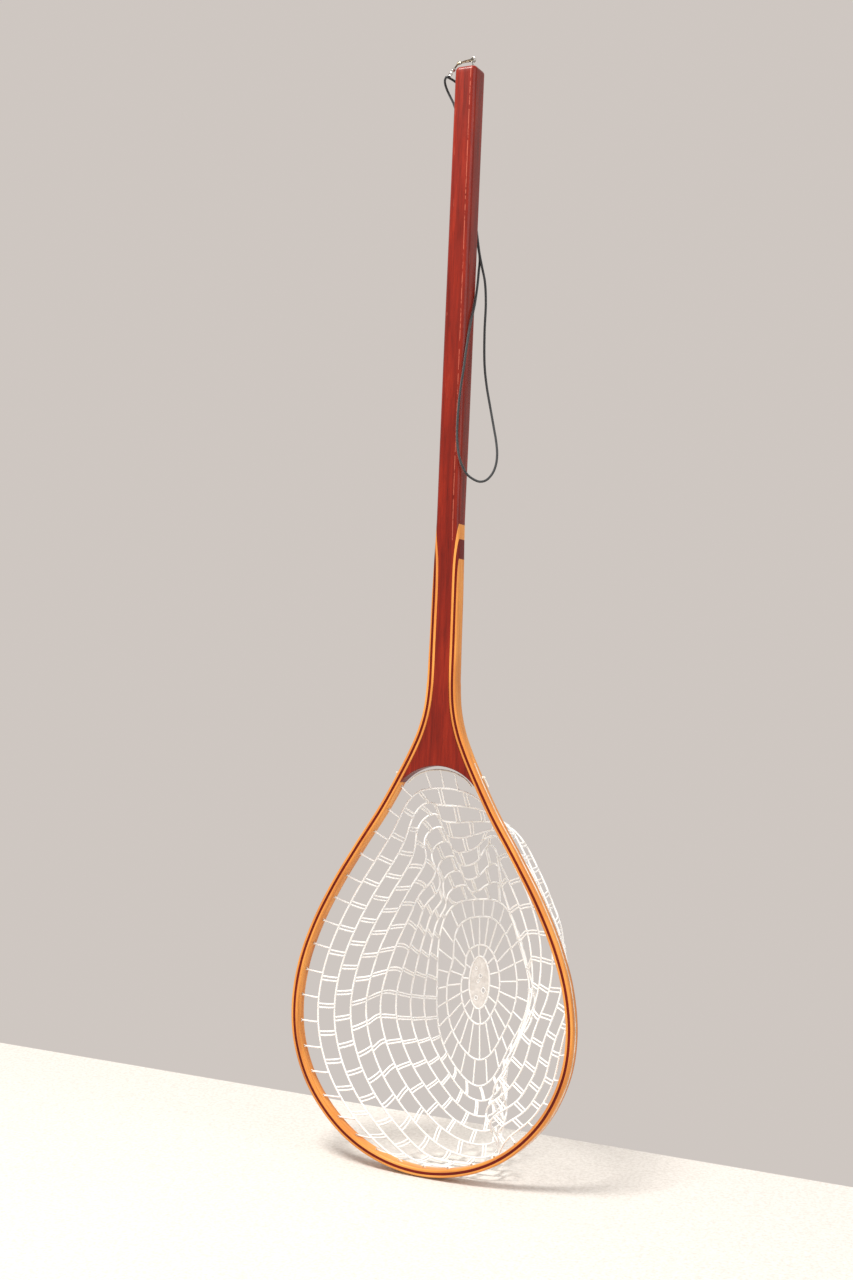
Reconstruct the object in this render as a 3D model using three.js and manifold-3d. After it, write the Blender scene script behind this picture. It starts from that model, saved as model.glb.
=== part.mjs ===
// A long-handled wooden landing net. Millimetres, +Z up along the handle.
// The hoop's plane is XZ: its front faces -Y and the bag hangs behind it, towards +Y.
// z = 0 is the lowest point of the hoop and x = 0 is the plane of symmetry of the wood.
import * as THREE from "three";
import { mergeVertices } from "three/addons/utils/BufferGeometryUtils.js";
import Module from "manifold-3d";

// Driving dimensions.
const GAP = 0.3; // glue line, and clearance between pieces that touch
const STRIP = 2.9; // thickness of one bent lamination
const HOOP_DEPTH = 16.5; // front to back
const OUTER_CHAMFER = 1.4;
const INNER_CHAMFER = 1.0;
const GROOVE_WIDTH = 2.6;
const GROOVE_DEPTH = 1.3;
const GROOVE_TOP = 506; // height at which the lacing groove runs out
const LACING_TOP = 500;
const RIM_SIDE_TOP = 452;
const HOLE_RADIUS = 1.5;
const HOLE_PITCH = 33;
const HOLE_TOP = 466;
const LACING_RADIUS = 0.9;
const ARCH_TOP = 490.3; // underside of the throat, on the axis
const ARCH_RADIUS = 67;
const BUTT = 1352;
const EYE = new THREE.Vector3(2.5, 2, 1364.5); // middle of the screw eye's ring
const EYE_RADIUS = 3.1;
const EYE_WIRE = 1.05;
const SHANK_LENGTH = 24;
const KNUCKLE = new THREE.Vector3(-17.5, 1, 1362);
const SWIVEL_END = new THREE.Vector3(-30, 0, 1346);
const SNAP_WIRE = 0.95;
const SNAP_HALF_WIDTH = 3.9;
const BARREL_RADIUS = 2.4;
const BARREL_LENGTH = 5.2;
const BARREL_START = 7.3; // along the swivel's axis, from the knuckle
const SWIVEL_EYE_RADIUS = 2;
const SWIVEL_EYE_WIRE = 0.75;
const SWIVEL_EYE_MIDDLE = 15.6; // along the swivel's axis, from the knuckle
const HITCH_RADIUS = 2.1;
const KNOT_RADIUS = 3;
const CORD_RADIUS = 1.5;
const THROAT_CORD_RADIUS = 0.85;
const THROAT_CORD_DROP = 4.6; // below the arch
const BAG_DEPTH = 132;
const BAG_WALL = 1.2;
const BAG_MIDDLE = new THREE.Vector2(8, 212); // x and z of the patch at the bottom of the bag
const PATCH_HALF_WIDTH = 15;
const PATCH_HALF_HEIGHT = 34;

// Middle line of the dark lamination, right half, from the foot of the hoop up to the shoulder.
const HALF_LINE = [
  [60, 14.6],
  [110, 40],
  [154, 85],
  [178, 136],
  [184.3, 185],
  [177.8, 237],
  [161.7, 285],
  [137, 335],
  [106.5, 385],
  [74, 435],
  [48.8, 480],
  [34.6, 508],
  [25, 531],
  [18.3, 556],
  [15.2, 584],
  [14.6, 640],
  [14.6, 735],
  [16.6, 758],
  [20.3, 788],
  [22.2, 802],
];
const FOOT = [0, 4.8];

// Shape of the neck and grip: height, half width, half depth, corner radius.
const GRIP_SECTIONS = [
  [540, 60, 8.25, 0.8],
  [590, 19.3, 8.25, 1.5],
  [640, 18.6, 8.4, 2.0],
  [700, 18.0, 8.8, 2.6],
  [740, 17.1, 9.6, 3.6],
  [765, 16.2, 10.6, 4.6],
  [790, 15.5, 11.6, 5.4],
  [830, 15.3, 12.6, 5.8],
  [913, 15.3, 13.4, 6.0],
  [1050, 15.1, 14.4, 6.5],
  [1200, 14.8, 15.2, 6.8],
  [1320, 14.6, 15.5, 6.5],
  [BUTT - 5, 14.6, 15.5, 6.5],
  [BUTT - 2.6, 14.0, 14.9, 6.0],
  [BUTT - 1, 12.8, 13.7, 5.2],
  [BUTT, 10.4, 11.3, 4],
];

// The lanyard from its hitch: down behind the grip, round the bight, up the front, and back.
const LANYARD_ROUTE = [
  [-33.6, 0.6, 1345.8],
  [-36.6, 4, 1344.6],
  [-38.4, 9, 1341.2],
  [-38, 14, 1335.6],
  [-35.4, 17.6, 1328.6],
  [-30, 18.6, 1318],
  [-20.6, 18.3, 1290.6],
  [-8.8, 18.3, 1244.8],
  [1.9, 18.3, 1193.2],
  [9.6, 18.3, 1152],
  [14.6, 18.3, 1124.5],
  [19.2, 18.3, 1106],
  [22.9, 20, 1088.5],
  [24.4, 22, 1062.6],
  [23.4, 24, 1027],
  [25.3, 24, 985.6],
  [30, 23, 958],
  [36.6, 22, 931],
  [43.3, 20, 906],
  [48.2, 18, 888],
  [51.5, 15, 872],
  [51.6, 12, 858],
  [49, 8, 847],
  [43, 4, 839],
  [36.5, 0, 837],
  [30, -4, 839.5],
  [23.6, -9, 845],
  [18.3, -14, 856],
  [14.2, -15.8, 870],
  [11.6, -16, 888],
  [11, -16, 908],
  [11.7, -16, 929.5],
  [13.6, -16.2, 951],
  [16, -16, 971],
  [17, -12.5, 997],
  [17.3, -4, 1032],
  [17.3, 5, 1056],
  [16.2, 13, 1083],
  [14.8, 18, 1102],
  [13.4, 22, 1120],
  [6.9, 22.6, 1149],
  [-3, 22.6, 1201],
  [-9, 22.6, 1259],
  [-12.5, 22.6, 1305],
  [-15.5, 21.4, 1326],
  [-19.5, 16.4, 1337],
  [-25, 9.2, 1343],
  [-28.6, 3.9, 1345.2],
];

const wasm = await Module();
wasm.setup();

const COLOURS = {
  red_hardwood: { color: 0x96301e, roughness: 0.35, metalness: 0 },
  light_ash: { color: 0xe8a75c, roughness: 0.4, metalness: 0 },
  dark_veneer: { color: 0x6e1710, roughness: 0.4, metalness: 0 },
  clear_rubber: { color: 0xf1ede4, roughness: 0.35, metalness: 0 },
  nickel: { color: 0xc9c9c4, roughness: 0.25, metalness: 1 },
  black_cord: { color: 0x22262a, roughness: 0.8, metalness: 0 },
};

// Everything hangs in one inner group, which brings the screw eye's middle to the origin.
const group = new THREE.Group();
const net = new THREE.Group();
net.position.copy(EYE).negate();
group.add(net);

function addNode(name, geometry, colour) {
  const mesh = new THREE.Mesh(geometry, new THREE.MeshStandardMaterial(COLOURS[colour]));
  mesh.name = name;
  net.add(mesh);
  return mesh;
}

// A closed geometry as a manifold solid, and back.
function solid(geometry) {
  const bare = geometry.clone();
  bare.deleteAttribute("normal");
  bare.deleteAttribute("uv");
  const merged = mergeVertices(bare, 1e-4);
  return new wasm.Manifold(
    new wasm.Mesh({
      numProp: 3,
      vertProperties: new Float32Array(merged.attributes.position.array),
      triVerts: new Uint32Array(merged.index.array),
    }),
  );
}

function geometryOf(manifold) {
  const mesh = manifold.getMesh();
  const geometry = new THREE.BufferGeometry();
  geometry.setAttribute("position", new THREE.BufferAttribute(mesh.vertProperties, 3));
  geometry.setIndex(new THREE.BufferAttribute(mesh.triVerts, 1));
  geometry.computeVertexNormals();
  return geometry;
}

// A closed skin over rings of equally many points, with a flat cap at each end.
function loft(rings) {
  const count = rings[0].length;
  const positions = rings.flat().flatMap((p) => [p.x, p.y, p.z]);
  const index = [];
  for (let r = 0; r + 1 < rings.length; r++) {
    for (let i = 0; i < count; i++) {
      const a = r * count + i;
      const b = r * count + ((i + 1) % count);
      index.push(a, b, b + count, a, b + count, a + count);
    }
  }
  const last = (rings.length - 1) * count;
  for (const [a, b, c] of capTriangles(rings[0])) index.push(a, c, b);
  for (const [a, b, c] of capTriangles(rings.at(-1))) index.push(last + a, last + b, last + c);
  const geometry = new THREE.BufferGeometry();
  geometry.setAttribute("position", new THREE.Float32BufferAttribute(positions, 3));
  geometry.setIndex(index);
  const turned = signedVolume(geometry) < 0;
  if (turned) geometry.setIndex(index.reverse());
  geometry.computeVertexNormals();
  return geometry;
}

// Triangles of a flat ring, wound as the ring is.
function capTriangles(ring) {
  const middle = ring.reduce((sum, p) => sum.add(p), new THREE.Vector3()).divideScalar(ring.length);
  const across = ring[0].clone().sub(middle).normalize();
  const normal = ring.reduce((sum, p, i) => {
    const next = ring[(i + 1) % ring.length];
    return sum.add(p.clone().sub(middle).cross(next.clone().sub(middle)));
  }, new THREE.Vector3());
  const along = normal.normalize().clone().cross(across);
  const flat = ring.map((p) => {
    const q = p.clone().sub(middle);
    return new THREE.Vector2(q.dot(across), q.dot(along));
  });
  return THREE.ShapeUtils.triangulateShape(flat, []);
}

function signedVolume(geometry) {
  const p = geometry.attributes.position;
  const corner = (i) => new THREE.Vector3().fromBufferAttribute(p, geometry.index.getX(i));
  let sum = 0;
  for (let i = 0; i < geometry.index.count; i += 3) {
    sum += corner(i).dot(corner(i + 1).cross(corner(i + 2)));
  }
  return sum / 6;
}

// A round wire or cord along a curve.
function tube(curve, radius, sides, steps) {
  const circle = Array.from({ length: sides }, (_, i) => {
    const turn = (i / sides) * 2 * Math.PI;
    return new THREE.Vector2(radius * Math.cos(turn), radius * Math.sin(turn));
  });
  return new THREE.ExtrudeGeometry(new THREE.Shape(circle), { extrudePath: curve, steps });
}

// A cylinder, cone or collar between two points.
function rod(from, to, radiusFrom, radiusTo, sides) {
  const length = from.distanceTo(to);
  const geometry = new THREE.CylinderGeometry(radiusTo, radiusFrom, length, sides);
  const direction = to.clone().sub(from).normalize();
  const turn = new THREE.Quaternion().setFromUnitVectors(new THREE.Vector3(0, 1, 0), direction);
  const middle = from.clone().add(to).multiplyScalar(0.5);
  return geometry.applyQuaternion(turn).translate(middle.x, middle.y, middle.z);
}

// Stations along the whole bent strip, closer together where it turns more.
function hoopStations() {
  const right = HALF_LINE.map(([x, z]) => new THREE.Vector3(x, 0, z));
  const left = HALF_LINE.map(([x, z]) => new THREE.Vector3(-x, 0, z)).reverse();
  const points = [...left, new THREE.Vector3(FOOT[0], 0, FOOT[1]), ...right];
  const curve = new THREE.CatmullRomCurve3(points, false, "centripetal");
  curve.arcLengthDivisions = 4000;
  const fine = 500;
  const turnPerStation = THREE.MathUtils.degToRad(7.5);
  const longestStep = 60;
  const half = [];
  let kept = null;
  for (let i = 0; i <= fine; i++) {
    const u = 0.5 + (0.5 * i) / fine;
    const point = curve.getPointAt(u);
    const tangent = curve.getTangentAt(u);
    const turned = kept ? kept.tangent.angleTo(tangent) : Infinity;
    const moved = kept ? kept.point.distanceTo(point) : Infinity;
    if (turned < turnPerStation && moved < longestStep && i < fine) continue;
    kept = { point, tangent, outward: new THREE.Vector3(tangent.z, 0, -tangent.x) };
    half.push(kept);
  }
  const mirrored = half
    .slice(1)
    .reverse()
    .map(({ point, outward }) => ({
      point: new THREE.Vector3(-point.x, 0, point.z),
      outward: new THREE.Vector3(-outward.x, 0, outward.z),
    }));
  return { curve, stations: [...mirrored, ...half] };
}

const { curve: hoopCurve, stations } = hoopStations();

// Offsets across the three strips, from the middle of the dark one.
const DARK_FACE = STRIP / 2;
const NEXT_FACE = DARK_FACE + GAP;
const EDGE_FACE = NEXT_FACE + STRIP;

// A strip swept along the stations: sectionAt gives its [offset, y] outline at a station.
function sweep(chosen, sectionAt) {
  return loft(
    chosen.map((station) =>
      sectionAt(station).map(([offset, y]) => {
        const p = station.point.clone().addScaledVector(station.outward, offset);
        return p.setY(y);
      }),
    ),
  );
}

// The stock is deeper above the throat, where the grip's shape cuts it back.
function halfDepth(z) {
  const start = GRIP_SECTIONS[0][0];
  return HOOP_DEPTH / 2 + THREE.MathUtils.clamp((z - start) / 60, 0, 1) * 5;
}

function fade(z, top) {
  return THREE.MathUtils.clamp((top - z) / 20, 0.02, 1);
}

function outerSection({ point }) {
  const h = halfDepth(point.z);
  const c = OUTER_CHAMFER * fade(point.z, GRIP_SECTIONS[0][0]);
  const g = GROOVE_WIDTH / 2;
  const floor = EDGE_FACE - GROOVE_DEPTH * fade(point.z, GROOVE_TOP);
  return [
    [NEXT_FACE, -h],
    [EDGE_FACE - c, -h],
    [EDGE_FACE, c - h],
    [EDGE_FACE, -g],
    [floor, -g],
    [floor, g],
    [EDGE_FACE, g],
    [EDGE_FACE, h - c],
    [EDGE_FACE - c, h],
    [NEXT_FACE, h],
  ];
}

function middleSection({ point }) {
  const h = halfDepth(point.z);
  return [
    [-DARK_FACE, -h],
    [DARK_FACE, -h],
    [DARK_FACE, h],
    [-DARK_FACE, h],
  ];
}

function innerSection({ point }) {
  const h = halfDepth(point.z);
  const c = INNER_CHAMFER * fade(point.z, HOLE_TOP);
  return [
    [-EDGE_FACE + c, -h],
    [-NEXT_FACE, -h],
    [-NEXT_FACE, h],
    [-EDGE_FACE + c, h],
    [-EDGE_FACE, h - c],
    [-EDGE_FACE, c - h],
  ];
}

// A rectangle with rounded corners, level at height z.
function roundedRing([z, halfWidth, depth, radius]) {
  const perCorner = 5;
  const ring = [];
  for (let corner = 0; corner < 4; corner++) {
    const sx = corner === 0 || corner === 3 ? 1 : -1;
    const sy = corner < 2 ? 1 : -1;
    for (let i = 0; i < perCorner; i++) {
      const turn = ((corner + i / (perCorner - 1)) * Math.PI) / 2;
      const x = sx * (halfWidth - radius) + radius * Math.cos(turn);
      const y = sy * (depth - radius) + radius * Math.sin(turn);
      ring.push(new THREE.Vector3(x, y, z));
    }
  }
  return ring;
}

function box(low, high) {
  const size = high.clone().sub(low);
  const middle = high.clone().add(low).multiplyScalar(0.5);
  return new THREE.BoxGeometry(size.x, size.y, size.z).translate(middle.x, middle.y, middle.z);
}

const gripShape = solid(loft(GRIP_SECTIONS.map(roundedRing)));

// The grip's shape above the throat, and all of the hoop below it.
function cutToShape(stock, depthBelow) {
  const start = GRIP_SECTIONS[0][0];
  const below = box(new THREE.Vector3(-250, -depthBelow, -10), new THREE.Vector3(250, depthBelow, start));
  return stock.intersect(gripShape.add(solid(below)));
}

// Lacing holes: evenly spaced on the line of the hoop, from one side of the throat to the other.
function holeStations() {
  const count = 400;
  const all = Array.from({ length: count + 1 }, (_, i) => hoopCurve.getPointAt(i / count));
  const first = all.findIndex((p) => p.z < HOLE_TOP) / count;
  const span = (1 - 2 * first) * hoopCurve.getLength();
  const holes = Math.round(span / HOLE_PITCH);
  return Array.from({ length: holes + 1 }, (_, i) => {
    const u = first + ((1 - 2 * first) * i) / holes;
    const tangent = hoopCurve.getTangentAt(u);
    return {
      point: hoopCurve.getPointAt(u),
      outward: new THREE.Vector3(tangent.z, 0, -tangent.x),
    };
  });
}

function radialRods(places, from, to, radius, sides) {
  return places
    .map(({ point, outward }) => {
      const a = point.clone().addScaledVector(outward, from);
      const b = point.clone().addScaledVector(outward, to);
      return solid(rod(a, b, radius, radius, sides));
    })
    .reduce((sum, one) => sum.add(one));
}

const holes = holeStations();

function makeLaminations() {
  const drills = radialRods(holes, -8, 8, HOLE_RADIUS, 6);
  const strips = [
    ["hoop_outer_lamination", outerSection, "light_ash"],
    ["hoop_middle_lamination", middleSection, "dark_veneer"],
    ["hoop_inner_lamination", innerSection, "light_ash"],
  ];
  for (const [name, section, colour] of strips) {
    const bent = cutToShape(solid(sweep(stations, section)), 12);
    addNode(name, geometryOf(bent.subtract(drills)), colour);
  }
}

// Points of the arch under the throat, from x = -reach to x = +reach, lowered by drop.
function archPoints(reach, drop, steps) {
  const half = Math.asin(reach / ARCH_RADIUS);
  return Array.from({ length: steps + 1 }, (_, i) => {
    const turn = -half + (2 * half * i) / steps;
    const x = ARCH_RADIUS * Math.sin(turn);
    const z = ARCH_TOP - drop - ARCH_RADIUS * (1 - Math.cos(turn));
    return new THREE.Vector3(x, 0, z);
  });
}

// Grip, neck and throat are one stick: its sides follow the strips, its foot is the arch.
function makeHandle() {
  const right = stations
    .filter(({ point }) => point.x > 0 && point.z > 400)
    .map(({ point, outward }) => point.clone().addScaledVector(outward, -EDGE_FACE - GAP))
    .map((p) => new THREE.Vector2(p.x, p.z));
  const left = right.map((p) => new THREE.Vector2(-p.x, p.y)).reverse();
  const wide = 40;
  const above = right.at(-1).y + 30;
  const outline = new THREE.Shape([
    ...right,
    new THREE.Vector2(wide, above),
    new THREE.Vector2(wide, BUTT + 10),
    new THREE.Vector2(-wide, BUTT + 10),
    new THREE.Vector2(-wide, above),
    ...left,
  ]);
  const slab = new THREE.ExtrudeGeometry(outline, { depth: 2 * wide, bevelEnabled: false });
  slab.rotateX(Math.PI / 2).translate(0, wide, 0);
  const arch = new THREE.CylinderGeometry(ARCH_RADIUS, ARCH_RADIUS, 60, 96);
  arch.translate(0, 0, ARCH_TOP - ARCH_RADIUS);
  const below = box(new THREE.Vector3(-100, -30, 300), new THREE.Vector3(100, 30, ARCH_TOP - 20));
  const bore = rod(
    new THREE.Vector3(EYE.x, EYE.y, EYE.z - SHANK_LENGTH - 1),
    new THREE.Vector3(EYE.x, EYE.y, BUTT + 5),
    EYE_WIRE + GAP,
    EYE_WIRE + GAP,
    12,
  );
  const stick = cutToShape(solid(slab), HOOP_DEPTH / 2)
    .subtract(solid(arch))
    .subtract(solid(below))
    .subtract(solid(bore));
  addNode("handle_core", geometryOf(stick), "red_hardwood");
}

function makeScrewEye() {
  const ring = new THREE.TorusGeometry(EYE_RADIUS, EYE_WIRE, 8, 20);
  ring.rotateX(Math.PI / 2).translate(EYE.x, EYE.y, EYE.z);
  const top = EYE.clone().setZ(EYE.z - EYE_RADIUS);
  const tip = EYE.clone().setZ(EYE.z - SHANK_LENGTH);
  const shank = rod(tip, top, EYE_WIRE, EYE_WIRE, 12);
  addNode("screw_eye", geometryOf(solid(ring).add(solid(shank))), "nickel");
}

// The snap: a bow that passes through the screw eye, a spine, and a knuckle that carries the swivel.
// Its loop is tilted, and both legs clear the eye's wire as it swings.
function makeSnap() {
  const along = KNUCKLE.clone().sub(EYE).normalize();
  const tilt = new THREE.Vector3(0, 0.8, 0.6);
  const across = tilt.addScaledVector(along, -tilt.dot(along)).normalize();
  const at = (s, a) => EYE.clone().addScaledVector(along, s).addScaledVector(across, a);
  const half = SNAP_HALF_WIDTH;
  const spine = new THREE.CatmullRomCurve3(
    [
      at(6.8, -half),
      at(4.4, -half),
      at(1.6, -half * 0.8),
      at(0, 0),
      at(1.6, half * 0.8),
      at(4.4, half),
      at(10, half * 1.1),
      at(14.5, half * 0.7),
      at(17.6, 0.6),
    ],
    false,
    "centripetal",
  );
  const body = solid(tube(spine, SNAP_WIRE, 8, 26));
  const knuckle = solid(rod(at(16.2, 0), at(20.8, 0), 1.7, 2.1, 10));
  const down = SWIVEL_END.clone().sub(KNUCKLE).normalize();
  const post = solid(rod(KNUCKLE, KNUCKLE.clone().addScaledVector(down, BARREL_START - GAP), 1.1, 1.0, 8));
  addNode("snap_hook", geometryOf(body.add(knuckle).add(post)), "nickel");

  const gate = rod(at(15.6, -2.6), at(7.6 - GAP, -half), 0.6, 0.6, 8);
  addNode("snap_gate", gate, "nickel");
  return down;
}

// The swivel: a barrel on the snap's post, and an eye that spins under it.
function makeSwivel(down) {
  const at = (s) => KNUCKLE.clone().addScaledVector(down, s);
  const shoulder = 0.6 * BARREL_RADIUS;
  const profile = [
    [0, 0],
    [shoulder, 0],
    [BARREL_RADIUS, 1.1],
    [BARREL_RADIUS, BARREL_LENGTH - 1.1],
    [shoulder, BARREL_LENGTH],
    [0, BARREL_LENGTH],
  ].map(([r, h]) => new THREE.Vector2(r, h));
  const barrel = new THREE.LatheGeometry(profile, 12);
  const turn = new THREE.Quaternion().setFromUnitVectors(new THREE.Vector3(0, 1, 0), down);
  const start = at(BARREL_START);
  barrel.applyQuaternion(turn).translate(start.x, start.y, start.z);
  addNode("swivel_barrel", geometryOf(solid(barrel)), "nickel");

  const neckTop = at(BARREL_START + BARREL_LENGTH + GAP);
  const middle = at(SWIVEL_EYE_MIDDLE);
  const neckFoot = at(SWIVEL_EYE_MIDDLE - SWIVEL_EYE_RADIUS);
  const neck = solid(rod(neckTop, neckFoot, 0.8, 0.8, 8));
  const ring = new THREE.TorusGeometry(SWIVEL_EYE_RADIUS, SWIVEL_EYE_WIRE, 8, 16);
  ring.rotateX(Math.PI / 2).translate(middle.x, middle.y, middle.z);
  addNode("swivel_eye", geometryOf(neck.add(solid(ring))), "nickel");
}

// The cord that laces the bag on: it lies in the groove and dips through every hole.
function makeLacing() {
  const middle = EDGE_FACE - GROOVE_DEPTH + GAP + LACING_RADIUS;
  const held = stations.filter(({ point }) => point.z < LACING_TOP);
  const section = Array.from({ length: 6 }, (_, i) => {
    const turn = (i / 6) * 2 * Math.PI;
    return [middle + LACING_RADIUS * Math.cos(turn), LACING_RADIUS * Math.sin(turn)];
  });
  const run = solid(sweep(held, () => section));
  const dips = radialRods(holes, -EDGE_FACE, middle, LACING_RADIUS, 4);
  addNode("lacing_cord", geometryOf(run.add(dips)), "clear_rubber");

  for (const side of [-1, 1]) {
    const end = held.at(-1);
    const knot = new THREE.SphereGeometry(KNOT_RADIUS, 10, 8).scale(0.8, 0.8, 1.1);
    const away = end.point
      .clone()
      .addScaledVector(end.outward, EDGE_FACE + KNOT_RADIUS)
      .addScaledVector(new THREE.Vector3(-end.outward.z, 0, end.outward.x), KNOT_RADIUS + 1);
    knot.translate(side * away.x, 0, away.z);
    addNode(side < 0 ? "lacing_knot_left" : "lacing_knot_right", knot, "clear_rubber");
  }
}

// The short cord that hangs under the arch and carries the bag's edge across the throat.
function makeThroatCord() {
  const span = archPoints(30, THROAT_CORD_DROP, 6);
  const ends = [
    [38.5, 472.5],
    [42.8, 467.5],
  ];
  const right = ends.map(([x, z]) => new THREE.Vector3(x, 0, z));
  const left = ends.map(([x, z]) => new THREE.Vector3(-x, 0, z)).reverse();
  const curve = new THREE.CatmullRomCurve3([...left, ...span, ...right], false, "centripetal");
  addNode("throat_cord", tube(curve, THROAT_CORD_RADIUS, 6, 24), "clear_rubber");
}

// The bag's outer shape: a bowl whose rim follows the inside of the hoop and the throat cord.
// It is full at the sides and top, and drawn nearly straight at the bottom.
function makeBag() {
  const inset = EDGE_FACE + GAP;
  const rimOf = (extra) => {
    const sides = stations
      .filter(({ point }) => point.z < RIM_SIDE_TOP)
      .map(({ point, outward }) => point.clone().addScaledVector(outward, -inset - extra));
    const drop = THROAT_CORD_DROP + LACING_RADIUS + GAP + extra;
    return [...sides, ...archPoints(30, drop, 6).reverse()];
  };
  const ringAt = (rim, t, depth, shrink) =>
    rim.map((p) => {
      const away = new THREE.Vector2(p.x, p.z).sub(BAG_MIDDLE);
      const turn = Math.atan2(away.y / PATCH_HALF_HEIGHT, away.x / PATCH_HALF_WIDTH);
      const low = Math.max(0, -Math.sin(away.angle()));
      const fullness = 0.8 + 1.2 * low;
      const inward = 1 - Math.cos((t * Math.PI) / 2) ** fullness;
      const x = BAG_MIDDLE.x + (PATCH_HALF_WIDTH - shrink) * Math.cos(turn);
      const z = BAG_MIDDLE.y + (PATCH_HALF_HEIGHT - shrink) * Math.sin(turn);
      return new THREE.Vector3(
        THREE.MathUtils.lerp(p.x, x, inward),
        depth * Math.sin((t * Math.PI) / 2),
        THREE.MathUtils.lerp(p.z, z, inward),
      );
    });
  const levels = [0, 0.42, 0.72, 1];
  const outside = levels.map((t) => ringAt(rimOf(0), t, BAG_DEPTH, 0));
  const inside = levels.map((t) => ringAt(rimOf(BAG_WALL), t, BAG_DEPTH - BAG_WALL, BAG_WALL));
  addNode("net_bag", loft([...inside.reverse(), ...outside]), "clear_rubber");
}

// The hitch under the swivel, and the long loop of cord that hangs from it behind the grip,
// comes round the right side and climbs back up the front corner.
function makeLanyard(down) {
  const ringEnd = SWIVEL_EYE_MIDDLE + SWIVEL_EYE_RADIUS + SWIVEL_EYE_WIRE;
  const middle = KNUCKLE.clone().addScaledVector(down, ringEnd + GAP + HITCH_RADIUS);
  const knot = new THREE.SphereGeometry(HITCH_RADIUS, 12, 8);
  knot.translate(middle.x, middle.y, middle.z);
  addNode("lanyard_knot", knot, "black_cord");
  const curve = new THREE.CatmullRomCurve3(
    LANYARD_ROUTE.map(([x, y, z]) => new THREE.Vector3(x, y, z)),
    false,
    "centripetal",
  );
  addNode("lanyard_cord", tube(curve, CORD_RADIUS, 8, 90), "black_cord");
}

makeHandle();
makeLaminations();
makeLacing();
makeThroatCord();
makeBag();
makeScrewEye();
const swivelDown = makeSnap();
makeSwivel(swivelDown);
makeLanyard(swivelDown);

export default group;
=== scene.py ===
import math

import bmesh
import bpy
import numpy as np
from mathutils import Matrix, Vector


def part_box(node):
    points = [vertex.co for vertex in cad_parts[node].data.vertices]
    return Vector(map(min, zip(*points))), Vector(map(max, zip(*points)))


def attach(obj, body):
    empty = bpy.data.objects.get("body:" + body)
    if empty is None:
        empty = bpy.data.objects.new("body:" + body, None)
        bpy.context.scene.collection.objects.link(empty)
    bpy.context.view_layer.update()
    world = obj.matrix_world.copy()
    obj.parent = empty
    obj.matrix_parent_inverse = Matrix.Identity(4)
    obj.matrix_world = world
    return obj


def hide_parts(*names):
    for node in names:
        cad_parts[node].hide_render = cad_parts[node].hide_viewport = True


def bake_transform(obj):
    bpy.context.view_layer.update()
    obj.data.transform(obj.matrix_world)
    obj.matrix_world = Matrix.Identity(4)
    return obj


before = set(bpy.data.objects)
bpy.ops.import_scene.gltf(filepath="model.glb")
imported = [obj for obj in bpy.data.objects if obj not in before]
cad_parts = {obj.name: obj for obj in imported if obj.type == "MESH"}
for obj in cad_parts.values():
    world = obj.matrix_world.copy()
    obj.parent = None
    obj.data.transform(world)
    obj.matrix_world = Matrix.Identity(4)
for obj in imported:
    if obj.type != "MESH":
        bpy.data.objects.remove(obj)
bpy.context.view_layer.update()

EYE = np.array([2.5, 2.0, 1364.5])
UP = np.array([0.0155, -0.12, 0.993])  # the way up of the room, seen by the leaning net


def mm(points):
    return (np.asarray(points, float) - EYE) / 1000.0


# ---------------------------------------------------------------- camera

CAMERA_PLACE = (953.7, -1941.6, 532.6)
CAMERA_RIGHT = (0.8929, 0.4482, 0.0434)
CAMERA_FORWARD = (-0.45, 0.8916, 0.0508)


def make_camera():
    data = bpy.data.cameras.new("camera")
    data.sensor_width = 36
    data.lens = 50
    camera = bpy.data.objects.new("camera", data)
    bpy.context.collection.objects.link(camera)
    right = Vector(CAMERA_RIGHT).normalized()
    back = -Vector(CAMERA_FORWARD).normalized()
    up = back.cross(right).normalized()
    right = up.cross(back)
    turn = Matrix((right, up, back)).transposed()
    camera.matrix_world = Matrix.Translation(Vector(mm(CAMERA_PLACE))) @ turn.to_4x4()
    bpy.context.scene.camera = camera


make_camera()


# ---------------------------------------------------------------- mesh helpers


def smooth_path(points, per_span):
    """Catmull-Rom points through the given ones, centripetal."""
    p = np.asarray(points, float)
    p = np.vstack([2 * p[0] - p[1], p, 2 * p[-1] - p[-2]])
    out = []
    for i in range(1, len(p) - 2):
        knots = [0.0]
        for a, b in zip(p[i - 1 : i + 2], p[i : i + 3]):
            knots.append(knots[-1] + max(np.linalg.norm(b - a), 1e-9) ** 0.5)
        t0, t1, t2, t3 = knots
        t = np.linspace(t1, t2, per_span, endpoint=False)[:, None]
        a1 = (t1 - t) / (t1 - t0) * p[i - 1] + (t - t0) / (t1 - t0) * p[i]
        a2 = (t2 - t) / (t2 - t1) * p[i] + (t - t1) / (t2 - t1) * p[i + 1]
        a3 = (t3 - t) / (t3 - t2) * p[i + 1] + (t - t2) / (t3 - t2) * p[i + 2]
        b1 = (t2 - t) / (t2 - t0) * a1 + (t - t0) / (t2 - t0) * a2
        b2 = (t3 - t) / (t3 - t1) * a2 + (t - t1) / (t3 - t1) * a3
        out.append((t2 - t) / (t2 - t1) * b1 + (t - t1) / (t2 - t1) * b2)
    out.append(p[-2][None])
    return np.vstack(out)


def resample(path, step):
    """Evenly spaced points along a path, ends kept."""
    along = np.concatenate([[0], np.cumsum(np.linalg.norm(np.diff(path, axis=0), axis=1))])
    count = max(2, int(round(along[-1] / step)) + 1)
    at = np.linspace(0, along[-1], count)
    return np.column_stack([np.interp(at, along, path[:, k]) for k in range(3)])


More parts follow.
